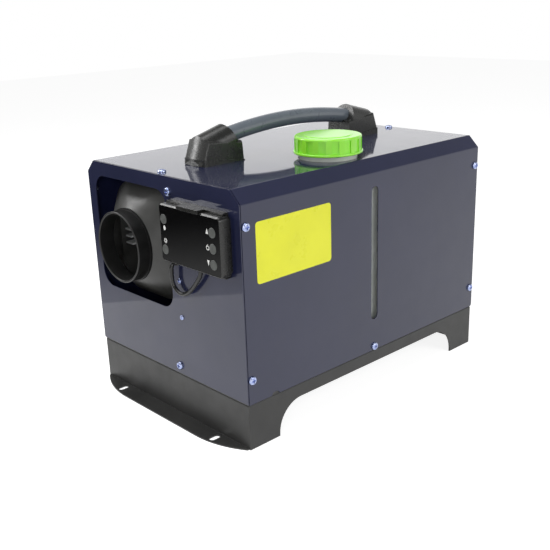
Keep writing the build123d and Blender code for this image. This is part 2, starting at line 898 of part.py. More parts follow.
def make_lower_shell():
    high = heater_z - casing_split_gap / 2
    span = 2 * casing_half_width
    keep = box_between(heater_x - span, heater_x + span, casing_front - 1, casing_back + 1, high - span, high)
    shell = casing_tube() & keep
    hole_x = foot_half_width + foot_hole_gap
    shell = shell - box_between(
        heater_x - hole_x, heater_x + hole_x,
        foot_front - foot_hole_gap, foot_back + foot_hole_gap,
        foot_bottom, heater_z - exchanger_radius,
    )
    side_x = heater_x + casing_half_width
    return shell - disc_x(glow_y, inlet_pipe_z, inlet_pipe_radius + 0.4, side_x - 20, side_x + 5)


# Cast aluminium heat exchanger: finned drum with the mounting foot under it.
def make_exchanger():
    drum = disc_y(heater_x, heater_z, exchanger_radius, exchanger_front, exchanger_back)
    flange_front = exchanger_back - exchanger_flange_length
    drum += disc_y(heater_x, heater_z, exchanger_flange, flange_front, exchanger_back)
    fin_back = flange_front - fin_end_gap
    step = 360.0 / fin_count
    for index in range(fin_count):
        turn = 90 + step * (index + 0.5)
        from_foot = abs((turn - 270 + 180) % 360 - 180)
        if from_foot < 50 or abs(math.cos(math.radians(turn))) > 0.9:
            continue
        fin = box_between(
            exchanger_radius - 1, fin_radius, exchanger_front, fin_back, -fin_thickness / 2, fin_thickness / 2
        )
        drum += Pos(heater_x, 0, heater_z) * Rot(0, -turn, 0) * fin
    for index, offset in enumerate(side_fin_offsets):
        front = long_fin_front if index < long_fins else exchanger_front
        z = heater_z + offset
        for side in (-1, 1):
            inner = heater_x + side * math.sqrt((exchanger_radius - 1) ** 2 - offset ** 2)
            outer = heater_x + side * side_fin_reach
            drum += box_between(
                min(inner, outer), max(inner, outer), front, fin_back, z - fin_thickness / 2, z + fin_thickness / 2
            )
    foot = box_between(
        heater_x - foot_half_width, heater_x + foot_half_width, foot_front, foot_back, foot_bottom, heater_z - 20
    )
    drum = drum + foot
    bore = exchanger_radius - exchanger_wall
    drum = drum - disc_y(heater_x, heater_z, bore, exchanger_front + exchanger_end_wall, exchanger_back + 1)
    for x in (exhaust_x, intake_x):
        port = disc_z(x, pipe_y, pipe_radius + pipe_gap, foot_bottom - 1, foot_bottom + pipe_insert)
        drum = drum - port
    drum = drum - disc_z(exhaust_x, pipe_y, pipe_radius - 2, foot_bottom, heater_z - 25)
    drum = drum - disc_z(intake_x, pipe_y, pipe_radius - 2, foot_bottom, foot_bottom + 18)
    for x, y in stud_places():
        drum = drum - disc_z(x, y, stud_radius, foot_bottom - 1, foot_bottom + stud_length_up)
    drum = drum - disc_x(glow_y, inlet_pipe_z, inlet_pipe_radius + 0.05, heater_x, heater_x + 60)
    return drum - glow_bar(glow_radius + 0.05, 20.0, 60.0)


def glow_bar(radius, start, end):
    """Round bar at the glow plug's angle, from one distance off the heater's axis to another."""
    bar = Pos(0, 0, (start + end) / 2) * Cylinder(radius, end - start)
    return Pos(heater_x, glow_y, heater_z) * Rot(0, glow_angle, 0) * bar


def make_glow_plug():
    plug = glow_bar(glow_radius, burner_radius + 1, glow_top - 8)
    plug += glow_bar(glow_radius * 0.55, burner_radius - 4, burner_radius + 2)
    hexagon = RegularPolygon(5.6, 6, major_radius=False)
    nut = extrude(hexagon, 5.0)
    plug += Pos(heater_x, glow_y, heater_z) * Rot(0, glow_angle, 0) * Pos(0, 0, exchanger_radius + 1.0) * nut
    return plug + glow_bar(1.8, glow_top - 9, glow_top - 2)


def stud_places():
    x = foot_half_width - stud_inset
    middle = (foot_front + foot_back) / 2
    y = (foot_back - foot_front) / 2 - stud_inset
    return [(heater_x + sx * x, middle + sy * y) for sx in (-1, 1) for sy in (-1, 1)]


def make_foot_gasket():
    top = foot_bottom
    gasket = box_between(
        heater_x - foot_half_width, heater_x + foot_half_width, foot_front, foot_back, top - gasket_height, top
    )
    for x in (exhaust_x, intake_x):
        gasket = gasket - disc_z(x, pipe_y, pipe_radius + 1.0, top - 5, top + 1)
    for x, y in stud_places():
        gasket = gasket - disc_z(x, y, stud_radius + 0.4, top - 5, top + 1)
    return gasket


plate_top = foot_bottom - gasket_height
plate_low = plate_top - bracket_sheet


def make_foot_studs():
    studs = []
    hexagon = RegularPolygon(stud_nut_flats / 2, 6, major_radius=False)
    for x, y in stud_places():
        stud = disc_z(x, y, stud_radius - 0.02, plate_low - stud_nut_height - 2, foot_bottom + stud_length_up)
        nut = along_z(Pos(x, y) * hexagon, plate_low - stud_nut_height, plate_low)
        studs.append(stud + nut)
    return group(studs)


# Bridge that carries the heater: a plate on two legs with turned-out feet.
def make_bracket():
    x0 = heater_x - foot_half_width - bracket_margin_x
    x1 = heater_x + foot_half_width + bracket_margin_x
    y0 = foot_front - bracket_margin_y
    y1 = foot_back + bracket_margin_y
    bridge = box_between(x0, x1, y0, y1, plate_low, plate_top)
    bridge += box_between(x0, x0 + bracket_sheet, y0, y1, tray_top, plate_top)
    bridge += box_between(x1 - bracket_sheet, x1, y0, y1, tray_top, plate_top)
    bridge += box_between(x0 - bracket_foot, x0, y0, y1, tray_top, tray_top + bracket_sheet)
    bridge += box_between(x1, x1 + bracket_foot, y0, y1, tray_top, tray_top + bracket_sheet)
    for x in (exhaust_x, intake_x):
        bridge = bridge - disc_z(x, pipe_y, pipe_radius + 1.0, plate_low - 1, plate_top + 1)
    for x, y in stud_places():
        bridge = bridge - disc_z(x, y, stud_radius + 0.4, plate_low - 1, plate_top + 1)
    return bridge


def make_floor_pipe(x):
    """Open pipe from a port in the heater's foot down through the floor, with a stop bead for a hose."""
    high = foot_bottom + pipe_insert - 0.5
    pipe = disc_z(x, pipe_y, pipe_radius, pipe_end, high)
    bead_top = base_height - base_sheet - pipe_bead_below_deck
    bead = disc_z(x, pipe_y, pipe_bead_radius, bead_top - pipe_bead_height, bead_top)
    pipe += fillet(bead.edges().filter_by(GeomType.CIRCLE), 0.6)
    return pipe - disc_z(x, pipe_y, pipe_radius - pipe_wall, pipe_end - 1, high + 1)


# Burner tube, blower housing, motor and what turns inside them.
def make_burner():
    tube = disc_y(heater_x, heater_z, burner_radius, burner_front, exchanger_back)
    tube = tube - disc_y(heater_x, heater_z, burner_radius - burner_wall, burner_front - 1, exchanger_back - 2)
    tube = tube - disc_y(heater_x, heater_z, blower_eye_radius, exchanger_back - 3, exchanger_back + 1)
    tube = tube - glow_bar(glow_radius * 0.55 + 0.1, burner_radius - 8, burner_radius + 5)
    for row in range(burner_hole_rows):
        y = burner_front + 30 + 22 * row
        for index in range(burner_holes):
            turn = 360.0 / burner_holes * (index + 0.5 * row)
            drill = Pos(0, 0, burner_radius) * Cylinder(burner_hole_radius, 8)
            tube = tube - Pos(heater_x, y, heater_z) * Rot(0, turn, 0) * drill
    return tube


blower_front = exchanger_back
blower_back = blower_front + blower_length


def make_blower_housing():
    housing = disc_y(heater_x, heater_z, exchanger_flange, blower_front, blower_back)
    cavity = disc_y(
        heater_x, heater_z, blower_cavity_radius, blower_front + blower_wall, blower_back - blower_wall
    )
    housing = housing - cavity
    housing = housing - disc_y(heater_x, heater_z, blower_eye_radius, blower_front - 1, blower_front + blower_wall + 1)
    return housing - disc_y(heater_x, heater_z, shaft_radius + 1.0, blower_back - blower_wall - 1, blower_back + 1)


motor_front = blower_back
motor_back = motor_front + motor_length


def make_motor_can():
    can = disc_y(heater_x, heater_z, motor_radius, motor_front, motor_back)
    can = can - disc_y(heater_x, heater_z, motor_radius - motor_wall, motor_front + motor_wall, motor_back - motor_wall)
    magnets_y0 = motor_front + motor_core_gap + 2
    magnets_y1 = motor_back - motor_core_gap - 2
    magnets = disc_y(heater_x, heater_z, motor_radius - motor_wall / 2, magnets_y0, magnets_y1)
    can += magnets - disc_y(heater_x, heater_z, motor_core_radius + 1.0, magnets_y0 - 1, magnets_y1 + 1)
    seat_radius = bearing_radius + bearing_seat_wall
    seat_length = motor_wall + bearing_width
    can += disc_y(heater_x, heater_z, seat_radius, motor_front, motor_front + seat_length)
    can += disc_y(heater_x, heater_z, seat_radius, motor_back - seat_length, motor_back)
    can = can - disc_y(heater_x, heater_z, bearing_radius, motor_front + motor_wall, motor_back - motor_wall)
    return can - disc_y(heater_x, heater_z, shaft_radius + 1.0, motor_front - 1, motor_back + 1)


def make_bearings():
    rings = []
    for y in (motor_front + motor_wall, motor_back - motor_wall - bearing_width):
        ring = disc_y(heater_x, heater_z, bearing_radius - 0.02, y, y + bearing_width)
        rings.append(ring - disc_y(heater_x, heater_z, shaft_radius + shaft_gap, y - 1, y + bearing_width + 1))
    return group(rings)


def make_rotor():
    shaft = disc_y(heater_x, heater_z, shaft_radius, shaft_front, shaft_back)
    core_front = motor_front + motor_core_gap
    return shaft + disc_y(heater_x, heater_z, motor_core_radius, core_front, motor_back - motor_core_gap)


def make_fan():
    fan_back = fan_front + fan_length
    fan = disc_y(heater_x, heater_z, fan_hub_radius, fan_front, fan_back)
    fan = fan - disc_y(heater_x, heater_z, fan_hub_radius - 2.5, fan_front - 1, fan_back - 3)
    fan += disc_y(heater_x, heater_z, shaft_radius + 2.5, fan_front + 4, fan_back)
    for index in range(fan_blades):
        turn = 360.0 / fan_blades * index
        blade = box_between(
            fan_hub_radius - 1.5, fan_radius, -fan_length * 0.55, fan_length * 0.55,
            -fan_blade_thickness / 2, fan_blade_thickness / 2
        )
        blade = Rot(fan_blade_twist, 0, 0) * blade
        fan += Pos(heater_x, fan_front + fan_length / 2, heater_z) * Rot(0, turn, 0) * blade
    fan = fan & disc_y(heater_x, heater_z, fan_radius, fan_front, fan_back)
    return fan - disc_y(heater_x, heater_z, shaft_radius, fan_front - 1, fan_back + 1)


def make_impeller():
    front = blower_front + blower_wall + 2.0
    plate_front = front + impeller_vane
    wheel = disc_y(heater_x, heater_z, impeller_radius, plate_front, plate_front + impeller_plate)
    wheel += disc_y(heater_x, heater_z, shaft_radius + 3.0, front, plate_front)
    for index in range(impeller_vanes):
        turn = 360.0 / impeller_vanes * index
        vane = box_between(14.0, impeller_radius, -impeller_vane / 2, impeller_vane / 2 + 0.5, -0.8, 0.8)
        wheel += Pos(heater_x, front + impeller_vane / 2, heater_z) * Rot(0, turn, 0) * vane
    return wheel - disc_y(heater_x, heater_z, shaft_radius, front - 1, plate_front + impeller_plate + 1)


def make_control_unit():
    low = heater_z + motor_radius + control_gap
    y0 = motor_front + 2.0
    box = box_between(
        heater_x - control_half_width, heater_x + control_half_width, y0, motor_back, low, low + control_height
    )
    box = fillet(box.edges().filter_by(Axis.Z), 3.0)
    socket = box_between(heater_x - 18, heater_x + 18, y0 - 1, y0 + 8, low + 5, low + control_height - 5)
    return box - socket


# Dosing pump, its mount, the fuel filter and the hoses.
def make_pump_body():
    body = disc_z(pump_x, pump_y, pump_radius, pump_low, pump_high)
    body = chamfer(body.edges().filter_by(GeomType.CIRCLE), 1.0)
    body += disc_z(pump_x, pump_y, pump_spigot_radius, pump_low - pump_spigot_length, pump_low + 1)
    body += disc_z(pump_x, pump_y, pump_spigot_radius, pump_high - 1, pump_high + pump_spigot_length)
    body = body - disc_z(pump_x, pump_y, pump_bore_radius, pump_chamber_low, pump_chamber_high)
    return body - disc_z(pump_x, pump_y, 0.9, pump_low - 20, pump_high + 20)


def make_plunger():
    radius = pump_bore_radius - pump_plunger_gap
    plunger = disc_z(pump_x, pump_y, radius, pump_plunger_low, pump_plunger_high)
    return plunger - disc_z(pump_x, pump_y, 0.9, pump_plunger_low - 1, pump_plunger_high + 1)


def make_pump_spring():
    low = pump_plunger_high + pump_spring_wire / 2 + 0.05
    high = pump_chamber_high - pump_spring_wire / 2 - 0.05
    height = high - low
    path = Pos(pump_x, pump_y, low) * Helix(height / pump_spring_turns, height, pump_spring_radius)
    start = Plane(origin=path @ 0, z_dir=path % 0)
    return sweep(start * Circle(pump_spring_wire / 2), path, is_frenet=True)


def make_pump_rubber():
    outer = pump_radius + pump_rubber_wall
    ring = disc_z(pump_x, pump_y, outer, pump_rubber_low, pump_rubber_high)
    return ring - disc_z(pump_x, pump_y, pump_radius, pump_rubber_low - 1, pump_rubber_high + 1)


def make_pump_bracket():
    inner = pump_radius + pump_rubber_wall
    outer = inner + pump_clamp_sheet
    low = pump_rubber_low + 2
    high = pump_rubber_high - 2
    clamp = disc_z(pump_x, pump_y, outer, low, high)
    clamp += box_between(wall_x - 1.4, wall_x, pump_y, pump_y + pump_clamp_tab, low, high)
    return clamp - disc_z(pump_x, pump_y, inner, low - 1, high + 1)


def make_filter():
    back = filter_front + filter_length
    body = disc_y(filter_x, filter_z, filter_radius, filter_front, back)
    body = chamfer(body.edges().filter_by(GeomType.CIRCLE), 3.0)
    body += disc_y(filter_x, filter_z, pump_spigot_radius, filter_front - filter_spigot, back + filter_spigot)
    return body - disc_y(filter_x, filter_z, 0.9, filter_front - 20, back + 20)


def make_hose(route):
    radii = bend_radii(route)
    tube, path = tube_along(route, radii, hose_radius, hose_bore_radius)
    return tube


def make_suction_hoses():
    filter_back = filter_front + filter_length
    first = make_hose([
        (outlet_tip_x + 8, outlet_y, filter_z),
        (filter_x, outlet_y, filter_z),
        (filter_x, filter_back + 0.2, filter_z),
    ])
    pump_end = pump_low - 0.2
    second = make_hose([
        (filter_x, filter_front - 0.2, filter_z),
        (filter_x, filter_front - 19, filter_z),
        (filter_x + 4, filter_front - 48, suction_low + 4),
        (pump_x - 2, pump_y + 26, suction_low),
        (pump_x, pump_y, suction_low),
        (pump_x, pump_y, pump_end),
    ])
    return first + second


def make_pressure_hose():
    return make_hose([
        (pump_x, pump_y, pump_high + 0.2),
        (pump_x, pump_y, inlet_pipe_z),
        (pump_x, glow_y - inlet_pipe_bend - inlet_pipe_tip, inlet_pipe_z),
    ])


def make_inlet_pipe():
    tip = glow_y - inlet_pipe_bend - inlet_pipe_tip - 8
    start = heater_x + math.sqrt(exchanger_radius ** 2 - (heater_z - inlet_pipe_z) ** 2) - 3
    route = [(start, glow_y, inlet_pipe_z), (pump_x, glow_y, inlet_pipe_z), (pump_x, tip, inlet_pipe_z)]
    outer = hose_bore_radius - 0.05
    tube, path = tube_along(route, [inlet_pipe_bend], outer, outer - 0.6)
    return tube


# Controller: two shells with a dark front sheet, five push buttons, display, board and holder.
ctl_front = panel_face - ctl_front_gap
ctl_back = ctl_front + ctl_depth
ctl_joint = ctl_back - ctl_split


def ctl_face(inset, corner):
    width = ctl_width - 2 * inset
    height = ctl_height - 2 * inset
    return Pos(ctl_x, ctl_z) * RectangleRounded(width, height, corner)


def button_places():
    places = [(ctl_x + button_left_x, ctl_z + z) for z in button_left_zs]
    return places + [(ctl_x + button_right_x, ctl_z + z) for z in button_right_zs]


lens_front = ctl_front + lens_sink
lens_back = lens_front + lens_thickness
board_back = ctl_back - ctl_wall - post_height
board_front = board_back - board_thickness
switch_top = board_front - switch_height


def make_ctl_front():
    body = along_y(ctl_face(0, ctl_corner), ctl_front, ctl_joint)
    body = chamfer(body.faces().sort_by(Axis.Y)[0].outer_wire().edges(), ctl_bevel)
    body = body - along_y(ctl_face(ctl_frame - 0.05, 2.5), ctl_front - 1, lens_back)
    body = body - along_y(ctl_face(ctl_frame + lens_ledge, 2.0), ctl_front, ctl_joint + 1)
    body = body - along_y(ctl_face(ctl_wall, 2.4), lens_back + 1.2, ctl_joint + 1)
    for x, z in button_places():
        hole = button_radius + button_flange + 0.3
        body = body - disc_y(x, z, hole, lens_back - 0.01, lens_back + 4)
    return body


def make_lens():
    lens = along_y(ctl_face(ctl_frame + 0.05, 2.4), lens_front, lens_back)
    for x, z in button_places():
        lens = lens - disc_y(x, z, button_radius + button_hole_gap, lens_front - 1, lens_back + 1)
    return lens


def make_ctl_back():
    body = along_y(ctl_face(0, ctl_corner), ctl_joint, ctl_back)
    body = fillet(body.faces().sort_by(Axis.Y)[-1].outer_wire().edges(), 0.8)
    body = body - along_y(ctl_face(ctl_wall, 2.4), ctl_joint - 1, ctl_back - ctl_wall)
    for sx in (-1, 1):
        for sz in (-1, 1):
            x = ctl_x + sx * (ctl_width / 2 - 8)
            z = ctl_z + sz * (ctl_height / 2 - 7)
            body += disc_y(x, z, post_radius, board_back, ctl_back - ctl_wall / 2)
    return body


def make_board():
    board = along_y(ctl_face(ctl_wall + board_margin, 2.0), board_front, board_back)
    half = switch_size / 2
    for x, z in button_places():
        board += box_between(x - half, x + half, switch_top, board_front + 0.1, z - half, z + half)
    return board


def make_lcd():
    half_w = lcd_width / 2
    half_h = lcd_height / 2
    front = lens_back + 0.1
    return box_between(ctl_x - half_w, ctl_x + half_w, front, board_front, ctl_z - half_h, ctl_z + half_h)


def make_button(x, z):
    top = lens_front - button_proud
    flange_front = lens_back + 0.15
    flange_back = flange_front + button_flange_thickness
    cap = disc_y(x, z, button_radius, top, flange_back)
    cap = fillet(cap.edges().sort_by(Axis.Y)[0], 0.5)
    cap += disc_y(x, z, button_radius + button_flange, flange_front, flange_back)
    stem_end = switch_top - button_travel - moving_gap
    return cap + disc_y(x, z, button_stem_radius, flange_back - 0.1, stem_end)


def make_holder():
    top = ctl_z + ctl_height / 2
    low = ctl_z - ctl_height / 2
    rim_front = ctl_back - holder_rim
    plate = along_y(ctl_face(holder_inset, ctl_corner), ctl_back, panel_face)

    # Upper rim and the clip over the controller's front edge.
    rim_low = top + holder_gap
    rim_half = ctl_width / 2 - ctl_corner
    plate += box_between(ctl_x - rim_half, ctl_x + rim_half, rim_front, panel_face, rim_low, rim_low + holder_wall)
    plate += box_between(ctl_x - rim_half, ctl_x + rim_half, ctl_back, panel_face, top - holder_tie, rim_low + 1)
    half = clip_width / 2
    clip_front = ctl_front - 0.1 - clip_hook_thickness
    plate += box_between(ctl_x - half, ctl_x + half, clip_front, ctl_back - 1, rim_low, rim_low + holder_wall)
    plate += box_between(
        ctl_x - half, ctl_x + half, clip_front, clip_front + clip_hook_thickness, top - clip_hook, rim_low + 1
    )

    # Two short hooks under the controller.
    hook_top = low - holder_gap
    for x in (hook_left_x, hook_right_x):
        x0 = x - hook_width / 2
        x1 = x + hook_width / 2
        plate += box_between(x0, x1, rim_front, panel_face, hook_top - holder_wall, hook_top)
        plate += box_between(x0, x1, ctl_back, panel_face, hook_top - 1, low + holder_tie)
    reach = grommet_flange + 0.6
    return plate - box_between(
        grommet_x - reach, grommet_x + reach, ctl_back - 1, panel_face + 1, low - 4, grommet_z + reach
    )


def make_grommet():
    lip_front = panel_face - grommet_lip
    lip_back = -panel_back + grommet_lip
    ring = disc_y(grommet_x, grommet_z, grommet_flange, lip_front, panel_face)
    ring += disc_y(grommet_x, grommet_z, grommet_body - 0.05, panel_face - 0.5, -panel_back + 0.5)
    ring += disc_y(grommet_x, grommet_z, grommet_flange, -panel_back, lip_back)
    bore = cable_radius + grommet_bore_gap
    return ring - disc_y(grommet_x, grommet_z, bore, lip_front - 1, lip_back + 1)


def make_cable():
    radii = bend_radii(cable_route)
    cable, path = tube_along(cable_route, radii, cable_radius)
    print("cable radii", [round(radius, 1) for radius in radii])
    print("cable length", round(path.length, 1))
    section = math.pi * cable_radius ** 2
    print("cable volume over section times length", round(cable.volume / (section * path.length), 4))
    return cable


def make_gland():
    hexagon = RegularPolygon(gland_nut_flats / 2, 6, major_radius=False)
    hexagon = Pos(gland_x, gland_z) * hexagon
    dome_end = half_length + gland_nut_height + gland_dome_length
    gland = along_y(hexagon, half_length, half_length + gland_nut_height)
    dome = disc_y(gland_x, gland_z, gland_dome_radius, half_length + 1, dome_end)
    gland += fillet(dome.edges().sort_by(Axis.Y)[-1], 3.5)
    gland += disc_y(gland_x, gland_z, gland_body_radius, panel_back - 8, half_length + 1)
    gland += along_y(hexagon, panel_back - 4, panel_back)
    return gland - disc_y(gland_x, gland_z, gland_bore_radius, half_length - 4, dome_end + 1)


save("base_frame", make_base())
save("floor_tray", make_tray())
save("top_cover", make_cover())
save("front_panel", make_front_panel())
save("rear_panel", make_rear_panel())
save("inner_wall", make_wall())
case_spots = side_spots + top_spots + front_spots + rear_spots
save("case_screws", make_screws(
    case_spots, screw_head_radius, screw_head_height, screw_shank_radius, screw_length
))
save("small_screws", make_screws(
    small_spots, small_head_radius, small_head_height, small_shank_radius, screw_length - 2
))

front_socket = make_front_socket()
save("handle_socket_front", front_socket)
save("handle_socket_rear", Rot(0, 0, 180) * front_socket)
save("handle_tube", make_handle_tube())
save("handle_screws", make_screws(
    handle_spots, handle_screw_head_radius, handle_screw_head_height,
    handle_screw_radius - 0.02, handle_screw_length
))

save("fuel_tank", make_tank())
save("fuel_cap", make_cap())
save("cap_seal", make_cap_seal())
save("tank_pads", make_tank_pads())
save("tank_outlet", make_tank_outlet())
save("fuel_filter", make_filter())
save("suction_hoses", make_suction_hoses())
save("pressure_hose", make_pressure_hose())
save("fuel_inlet_pipe", make_inlet_pipe())
save("pump_body", make_pump_body())
save("pump_plunger", make_plunger())
save("pump_spring", make_pump_spring())
save("pump_rubber", make_pump_rubber())
save("pump_bracket", make_pump_bracket())

save("heater_bracket", make_bracket())
save("foot_gasket", make_foot_gasket())
save("foot_studs", make_foot_studs())
save("heat_exchanger", make_exchanger())
save("burner_tube", make_burner())
save("glow_plug", make_glow_plug())
save("blower_housing", make_blower_housing())
save("combustion_impeller", make_impeller())
save("motor_can", make_motor_can())
save("motor_bearings", make_bearings())
save("motor_rotor", make_rotor())
save("air_fan", make_fan())
save("control_unit", make_control_unit())
save("heater_lower_shell", make_lower_shell())
save("heater_upper_shell", make_upper_shell())
save("outlet_hood", make_outlet_hood())
save("inlet_grille", make_inlet_grille())
save("exhaust_pipe", make_floor_pipe(exhaust_x))
save("intake_pipe", make_floor_pipe(intake_x))

save("controller_front", make_ctl_front())
save("controller_lens", make_lens())
save("controller_back", make_ctl_back())
save("controller_board", make_board())
save("lcd_module", make_lcd())
save("controller_holder", make_holder())
button_names = ("button_dot", "button_ok", "button_up", "button_power", "button_down")
for name, (x, z) in zip(button_names, button_places()):
    save(name, make_button(x, z))
save("cable_grommet", make_grommet())
save("controller_cable", make_cable())
save("power_gland", make_gland())
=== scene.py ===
import bmesh
import bpy
import json
import math
from mathutils import Matrix, Vector

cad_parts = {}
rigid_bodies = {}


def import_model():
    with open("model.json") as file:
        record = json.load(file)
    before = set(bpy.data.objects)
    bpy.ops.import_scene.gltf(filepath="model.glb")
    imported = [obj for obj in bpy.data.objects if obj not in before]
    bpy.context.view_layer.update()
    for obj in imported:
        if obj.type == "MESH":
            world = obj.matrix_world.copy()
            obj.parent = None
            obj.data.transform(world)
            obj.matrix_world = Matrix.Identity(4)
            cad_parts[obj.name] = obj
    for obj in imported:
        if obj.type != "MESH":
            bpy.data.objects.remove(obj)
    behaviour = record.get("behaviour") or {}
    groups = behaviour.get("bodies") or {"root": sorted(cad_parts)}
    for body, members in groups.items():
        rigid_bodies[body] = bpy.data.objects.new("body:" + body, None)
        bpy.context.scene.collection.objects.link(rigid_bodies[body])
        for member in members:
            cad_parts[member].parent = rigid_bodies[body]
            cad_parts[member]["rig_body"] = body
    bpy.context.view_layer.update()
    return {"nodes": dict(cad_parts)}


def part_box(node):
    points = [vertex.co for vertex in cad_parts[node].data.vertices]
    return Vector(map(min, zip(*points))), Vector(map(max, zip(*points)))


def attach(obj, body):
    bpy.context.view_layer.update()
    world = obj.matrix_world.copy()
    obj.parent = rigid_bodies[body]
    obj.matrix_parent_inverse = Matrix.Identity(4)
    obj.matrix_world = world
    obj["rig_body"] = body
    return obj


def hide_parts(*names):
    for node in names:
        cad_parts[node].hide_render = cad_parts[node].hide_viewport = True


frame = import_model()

scene = bpy.context.scene
scene.view_settings.view_transform = "Standard"


# The camera stands a metre off the case's front right corner, a little above its top,
# where the photograph was taken from, with a slight tilt of the horizon.
lens = bpy.data.cameras.new("camera")
lens.sensor_width = 36.0
lens.lens = 54.5
lens.clip_start = 0.01
camera = bpy.data.objects.new("camera", lens)
camera.matrix_world = Matrix((
    (0.683366, -0.211174, 0.698867, 0.664771),
    (0.729365, 0.239690, -0.640762, -0.636887),
    (-0.032199, 0.947604, 0.317819, 0.414487),
    (0.0, 0.0, 0.0, 1.0),
))
scene.collection.objects.link(camera)
scene.camera = camera


# Controller cable: a thin black PVC lead that comes out of a rubber grommet in the front panel,
# hangs in a short loop below the controller and goes back up into its lower edge.
cable_diameter = 0.0042
cable_route = [
    (0.0258, -0.1785, 0.1715),
    (0.0258, -0.1873, 0.1715),
    (0.0242, -0.1872, 0.1585),
    (0.0248, -0.1866, 0.1475),
    (0.0330, -0.1862, 0.1405),
    (0.0450, -0.1860, 0.1420),
    (0.0570, -0.1860, 0.1520),
    (0.0650, -0.1862, 0.1610),
    (0.0705, -0.1862, 0.1682),
    (0.0705, -0.1862, 0.1748),
]


def start_finish(name, colour, roughness, metallic=0.0):
    """A finish with its plain colour and gloss, ready for grain, mottling and wear."""
    finish = bpy.data.materials.new(name)
    finish.use_nodes = True
    shader = finish.node_tree.nodes["Principled BSDF"]
    shader.inputs["Base Color"].default_value = (*colour, 1.0)
    shader.inputs["Roughness"].default_value = roughness
    shader.inputs["Metallic"].default_value = metallic
    finish["normal_from"] = ""
    return finish


def texture_place(finish, stretch=(1.0, 1.0, 1.0)):
    """The piece's own place in the object, so that grain stays on a piece that moves."""
    nodes = finish.node_tree.nodes
    place = nodes.new("ShaderNodeTexCoord")
    mapping = nodes.new("ShaderNodeMapping")
    mapping.inputs["Scale"].default_value = stretch
    finish.node_tree.links.new(place.outputs["Object"], mapping.inputs["Vector"])
    return mapping.outputs["Vector"]


def mottle(finish, dark, light, scale, detail=4.0, stretch=(1.0, 1.0, 1.0)):
    """Colour that drifts between two close shades."""
    nodes = finish.node_tree.nodes
    links = finish.node_tree.links
    noise = nodes.new("ShaderNodeTexNoise")
    noise.inputs["Scale"].default_value = scale
    noise.inputs["Detail"].default_value = detail
    links.new(texture_place(finish, stretch), noise.inputs["Vector"])
    ramp = nodes.new("ShaderNodeValToRGB")
    ramp.color_ramp.elements[0].position = 0.35
    ramp.color_ramp.elements[0].color = (*dark, 1.0)
    ramp.color_ramp.elements[1].position = 0.65
    ramp.color_ramp.elements[1].color = (*light, 1.0)
    links.new(noise.outputs["Fac"], ramp.inputs["Fac"])
    links.new(ramp.outputs["Color"], nodes["Principled BSDF"].inputs["Base Color"])


def vary_gloss(finish, low, high, scale, stretch=(1.0, 1.0, 1.0)):
    """Roughness that changes over the surface, as handling and casting leave it."""
    nodes = finish.node_tree.nodes
    links = finish.node_tree.links
    noise = nodes.new("ShaderNodeTexNoise")
    noise.inputs["Scale"].default_value = scale
    noise.inputs["Detail"].default_value = 5.0
    links.new(texture_place(finish, stretch), noise.inputs["Vector"])
    span = nodes.new("ShaderNodeMapRange")
    span.inputs["From Min"].default_value = 0.3
    span.inputs["From Max"].default_value = 0.7
    span.inputs["To Min"].default_value = low
    span.inputs["To Max"].default_value = high
    links.new(noise.outputs["Fac"], span.inputs["Value"])
    links.new(span.outputs["Result"], nodes["Principled BSDF"].inputs["Roughness"])


def grain(finish, scale, height, strength=0.3, detail=2.0, stretch=(1.0, 1.0, 1.0)):
    """Fine relief; several layers can lie on each other."""
    nodes = finish.node_tree.nodes
    links = finish.node_tree.links
    noise = nodes.new("ShaderNodeTexNoise")
    noise.inputs["Scale"].default_value = scale
    noise.inputs["Detail"].default_value = detail
    links.new(texture_place(finish, stretch), noise.inputs["Vector"])
    bump = nodes.new("ShaderNodeBump")
    bump.inputs["Strength"].default_value = strength
    bump.inputs["Distance"].default_value = height
    links.new(noise.outputs["Fac"], bump.inputs["Height"])
    if finish["normal_from"]:
        links.new(nodes[finish["normal_from"]].outputs["Normal"], bump.inputs["Normal"])
    links.new(bump.outputs["Normal"], nodes["Principled BSDF"].inputs["Normal"])
    finish["normal_from"] = bump.name


def set_shader(finish, **values):
    """Other settings of the finish by name, such as Coat_Weight."""
    shader = finish.node_tree.nodes["Principled BSDF"]
    for name, value in values.items():
        shader.inputs[name.replace("_", " ")].default_value = value


cable_jacket = start_finish("cable_jacket", (0.006, 0.006, 0.006), 0.26)
mottle(cable_jacket, (0.005, 0.005, 0.005), (0.008, 0.008, 0.008), 300.0)
vary_gloss(cable_jacket, 0.22, 0.32, 200.0)
grain(cable_jacket, 2500.0, 0.00005, 0.15)
cable_line = bpy.data.curves.new("cable_line", "CURVE")
cable_line.dimensions = "3D"
cable_line.resolution_u = 16
cable_line.bevel_depth = cable_diameter / 2
cable_line.bevel_resolution = 6
cable_run = cable_line.splines.new("NURBS")
cable_run.points.add(len(cable_route) - 1)
for point, place in zip(cable_run.points, cable_route):
    point.co = (*place, 1.0)
cable_run.order_u = 3
cable_run.use_endpoint_u = True
cable_line.materials.append(cable_jacket)
cable = bpy.data.objects.new("lead_to_controller", cable_line)
scene.collection.objects.link(cable)
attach(cable, "case")
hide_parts("controller_cable")


